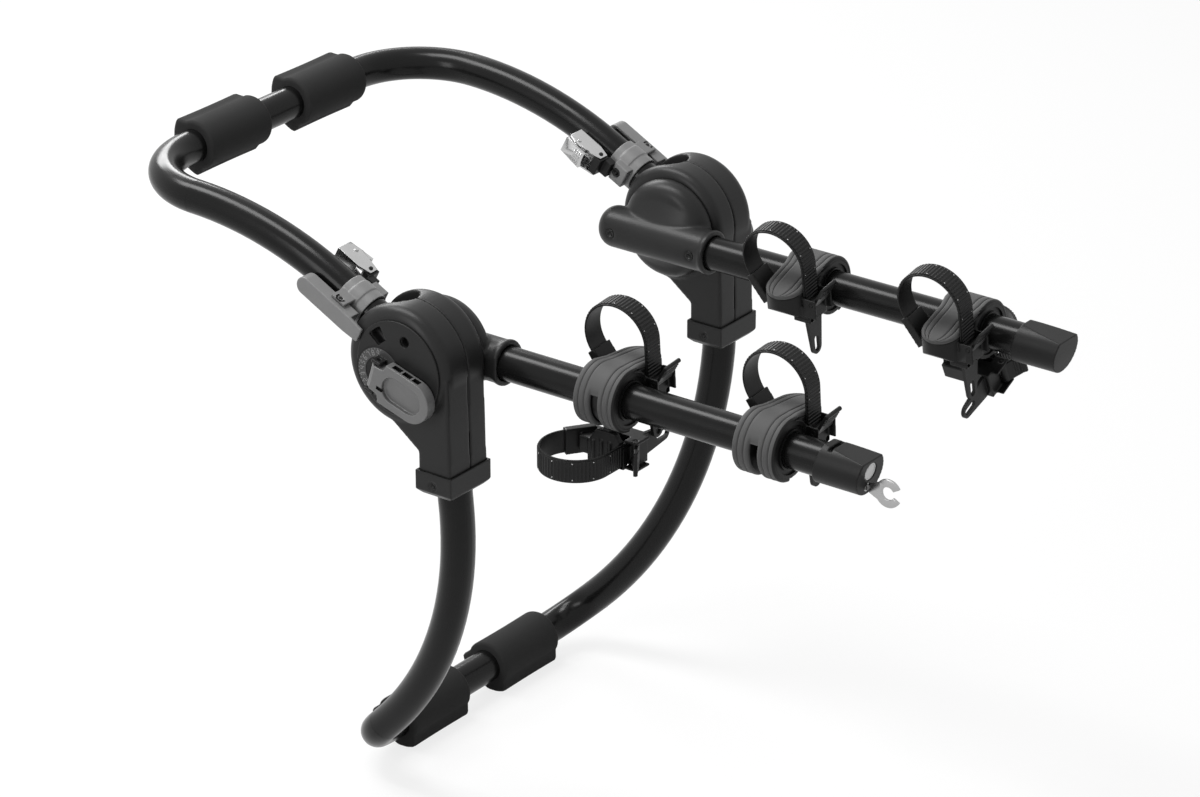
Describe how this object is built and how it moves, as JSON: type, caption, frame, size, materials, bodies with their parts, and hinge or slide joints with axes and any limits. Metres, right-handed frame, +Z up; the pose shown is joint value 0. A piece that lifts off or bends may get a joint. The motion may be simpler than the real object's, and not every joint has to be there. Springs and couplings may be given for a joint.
{
  "type": "trunk mounted bike rack",
  "caption": "Folding bicycle carrier for a car boot: padded lower and upper tube frames, hubs, and two arms with strapped rubber cradles and a lock.",
  "frame": {"origin": "midway between the two lower pads, on the plane of their contact faces", "axes": "+Z up in the pictured pose, -Y along the arms away from the car, +Y towards the car, +X to the side of the arm without the lock"},
  "size_m": [0.502, 0.8474, 0.5869],
  "materials": {
    "black_tube": "gloss black powder coat on steel tube",
    "foam": "matte closed cell foam",
    "hub_plastic": "satin charcoal glass filled nylon",
    "dial_plastic": "dark satin plastic with plain numbers",
    "grey_plastic": "mid grey satin plastic",
    "lever_plastic": "mid grey semi gloss plastic",
    "buckle_steel": "bright plated pressed steel",
    "lock_steel": "bright steel",
    "cradle_rubber": "grey moulded rubber",
    "strap_plastic": "black flexible ladder strap",
    "dark_steel": "blackened steel",
    "knuckle_metal": "die cast aluminium, hidden",
    "black_plastic": "black satin plastic"
  },
  "bodies": {
    "base": {"lower_frame_tube": "black_tube", "lower_pads": "foam", "left_hub_outer_shell": "hub_plastic", "right_hub_outer_shell": "hub_plastic", "left_hub_inner_shell": "hub_plastic", "right_hub_inner_shell": "hub_plastic", "neck_collars": "hub_plastic", "neck_screws": "dark_steel", "hub_axles": "dark_steel", "dials": "dial_plastic", "dial_pins": "dark_steel"},
    "upper_frame": {"upper_frame_tube": "black_tube", "upper_knuckles": "knuckle_metal", "upper_pads": "foam", "strap_collars": "grey_plastic", "collar_screws": "dark_steel", "buckle_links": "black_plastic", "index_pins": "dark_steel"},
    "left_arm": {"left_arm_socket": "hub_plastic", "left_arm_tube": "black_tube", "left_socket_screws": "dark_steel", "lock_cap": "black_plastic", "lock_plate": "lock_steel"},
    "right_arm": {"right_arm_socket": "hub_plastic", "right_arm_tube": "black_tube", "right_socket_screws": "dark_steel", "end_cap": "black_plastic"},
    "lock_core": {"lock_core": "lock_steel"},
    "key": {"key": "lock_steel"},
    "left_dial_lever": {"left_dial_lever": "lever_plastic"},
    "left_index_lever": {"left_index_lever": "grey_plastic"},
    "left_cam_buckle": {"left_cam_buckle": "buckle_steel"},
    "left_cam_lever": {"left_cam_lever": "buckle_steel"},
    "right_dial_lever": {"right_dial_lever": "lever_plastic"},
    "right_index_lever": {"right_index_lever": "grey_plastic"},
    "right_cam_buckle": {"right_cam_buckle": "buckle_steel"},
    "right_cam_lever": {"right_cam_lever": "buckle_steel"},
    "left_cradle_one": {"left_cradle_one_body": "black_plastic", "left_cradle_one_pad": "cradle_rubber", "left_cradle_one_strap": "strap_plastic"},
    "left_cradle_one_lever": {"left_cradle_one_lever": "black_plastic"},
    "left_cradle_two": {"left_cradle_two_body": "black_plastic", "left_cradle_two_pad": "cradle_rubber", "left_cradle_two_strap": "strap_plastic"},
    "left_cradle_two_lever": {"left_cradle_two_lever": "black_plastic"},
    "right_cradle_one": {"right_cradle_one_body": "black_plastic", "right_cradle_one_pad": "cradle_rubber", "right_cradle_one_strap": "strap_plastic"},
    "right_cradle_one_lever": {"right_cradle_one_lever": "black_plastic"},
    "right_cradle_two": {"right_cradle_two_body": "black_plastic", "right_cradle_two_pad": "cradle_rubber", "right_cradle_two_strap": "strap_plastic"},
    "right_cradle_two_lever": {"right_cradle_two_lever": "black_plastic"},
    "left_sway": {"left_sway_bracket": "black_plastic", "left_sway_strap": "strap_plastic"},
    "left_sway_lever": {"left_sway_lever": "black_plastic"},
    "right_sway": {"right_sway_bracket": "black_plastic", "right_sway_strap": "strap_plastic"},
    "right_sway_lever": {"right_sway_lever": "black_plastic"}
  },
  "joints": [
    {"name": "upper_frame_fold", "type": "hinge", "parent": "base", "child": "upper_frame", "pos_m": [0, -0.12262, 0.46355], "axis": [1, 0, 0], "range_deg": [-60, 40]},
    {"name": "left_arm_fold", "type": "hinge", "parent": "base", "child": "left_arm", "pos_m": [-0.205, -0.12262, 0.46355], "axis": [1, 0, 0], "range_deg": [-60, 35]},
    {"name": "right_arm_fold", "type": "hinge", "parent": "base", "child": "right_arm", "pos_m": [0.205, -0.12262, 0.46355], "axis": [1, 0, 0], "range_deg": [-60, 35]},
    {"name": "left_dial_lever_flip", "type": "hinge", "parent": "base", "child": "left_dial_lever", "pos_m": [-0.245, -0.10161, 0.45555], "axis": [0, 0.2924, -0.9563], "range_deg": [0, 80]},
    {"name": "right_dial_lever_flip", "type": "hinge", "parent": "base", "child": "right_dial_lever", "pos_m": [0.245, -0.10161, 0.45555], "axis": [0, -0.2924, 0.9563], "range_deg": [0, 80]},
    {"name": "left_index_lever_press", "type": "hinge", "parent": "upper_frame", "child": "left_index_lever", "pos_m": [-0.232, -0.04817, 0.50246], "axis": [0, 0.4633, -0.8862], "range_deg": [0, 7], "stiffness_Nm_per_rad": 0.5},
    {"name": "left_cam_buckle_swing", "type": "hinge", "parent": "upper_frame", "child": "left_cam_buckle", "pos_m": [-0.1738, -0.03577, 0.50895], "axis": [0, 0.4633, -0.8862], "range_deg": [0, 60]},
    {"name": "left_cam_lever_open", "type": "hinge", "parent": "left_cam_buckle", "child": "left_cam_lever", "pos_m": [-0.1678, -0.0145, 0.52007], "axis": [0, -0.4633, 0.8862], "range_deg": [0, 50], "stiffness_Nm_per_rad": 0.05},
    {"name": "right_index_lever_press", "type": "hinge", "parent": "upper_frame", "child": "right_index_lever", "pos_m": [0.232, -0.04817, 0.50246], "axis": [0, -0.4633, 0.8862], "range_deg": [0, 7], "stiffness_Nm_per_rad": 0.5},
    {"name": "right_cam_buckle_swing", "type": "hinge", "parent": "upper_frame", "child": "right_cam_buckle", "pos_m": [0.1738, -0.03577, 0.50895], "axis": [0, -0.4633, 0.8862], "range_deg": [0, 60]},
    {"name": "right_cam_lever_open", "type": "hinge", "parent": "right_cam_buckle", "child": "right_cam_lever", "pos_m": [0.1678, -0.0145, 0.52007], "axis": [0, 0.4633, -0.8862], "range_deg": [0, 50], "stiffness_Nm_per_rad": 0.05},
    {"name": "left_cradle_one_turn", "type": "hinge", "parent": "left_arm", "child": "left_cradle_one", "pos_m": [-0.158, -0.29862, 0.45755], "axis": [0, -1, 0], "range_deg": [0, 25]},
    {"name": "left_cradle_one_lever_lift", "type": "hinge", "parent": "left_cradle_one", "child": "left_cradle_one_lever", "pos_m": [-0.12392, -0.32811, 0.46956], "axis": [0.9962, 0, 0.0872], "range_deg": [0, 45], "stiffness_Nm_per_rad": 0.05},
    {"name": "left_cradle_two_turn", "type": "hinge", "parent": "left_arm", "child": "left_cradle_two", "pos_m": [-0.158, -0.46862, 0.45755], "axis": [0, -1, 0], "range_deg": [0, 25]},
    {"name": "left_cradle_two_lever_lift", "type": "hinge", "parent": "left_cradle_two", "child": "left_cradle_two_lever", "pos_m": [-0.12392, -0.49811, 0.46956], "axis": [0.9962, 0, 0.0872], "range_deg": [0, 45], "stiffness_Nm_per_rad": 0.05},
    {"name": "right_cradle_one_turn", "type": "hinge", "parent": "right_arm", "child": "right_cradle_one", "pos_m": [0.158, -0.29862, 0.45755], "axis": [0, 1, 0], "range_deg": [0, 25]},
    {"name": "right_cradle_one_lever_lift", "type": "hinge", "parent": "right_cradle_one", "child": "right_cradle_one_lever", "pos_m": [0.12197, -0.32811, 0.46033], "axis": [0.9848, 0, 0.1736], "range_deg": [0, 45], "stiffness_Nm_per_rad": 0.05},
    {"name": "right_cradle_two_turn", "type": "hinge", "parent": "right_arm", "child": "right_cradle_two", "pos_m": [0.158, -0.46862, 0.45755], "axis": [0, 1, 0], "range_deg": [0, 25]},
    {"name": "right_cradle_two_lever_lift", "type": "hinge", "parent": "right_cradle_two", "child": "right_cradle_two_lever", "pos_m": [0.12197, -0.49811, 0.46033], "axis": [0.9848, 0, 0.1736], "range_deg": [0, 45], "stiffness_Nm_per_rad": 0.05},
    {"name": "left_sway_turn", "type": "hinge", "parent": "left_arm", "child": "left_sway", "pos_m": [-0.158, -0.29862, 0.45755], "axis": [0, 1, 0], "range_deg": [0, 60]},
    {"name": "left_sway_lever_lift", "type": "hinge", "parent": "left_sway", "child": "left_sway_lever", "pos_m": [-0.157, -0.32361, 0.40555], "axis": [0, 0, 1], "range_deg": [0, 45], "stiffness_Nm_per_rad": 0.05},
    {"name": "right_sway_turn", "type": "hinge", "parent": "right_arm", "child": "right_sway", "pos_m": [0.158, -0.46862, 0.45755], "axis": [0, -1, 0], "range_deg": [-16, 34]},
    {"name": "right_sway_lever_lift", "type": "hinge", "parent": "right_sway", "child": "right_sway_lever", "pos_m": [0.1799, -0.49362, 0.41037], "axis": [0.4384, 0, -0.8988], "range_deg": [0, 45], "stiffness_Nm_per_rad": 0.05},
    {"name": "lock_turn", "type": "hinge", "parent": "left_arm", "child": "lock_core", "pos_m": [-0.158, -0.56732, 0.44455], "axis": [0, 1, 0], "range_deg": [0, 90]},
    {"name": "key_pull", "type": "slide", "parent": "lock_core", "child": "key", "axis": [0, -1, 0], "range_m": [0, 0.03]}
  ]
}
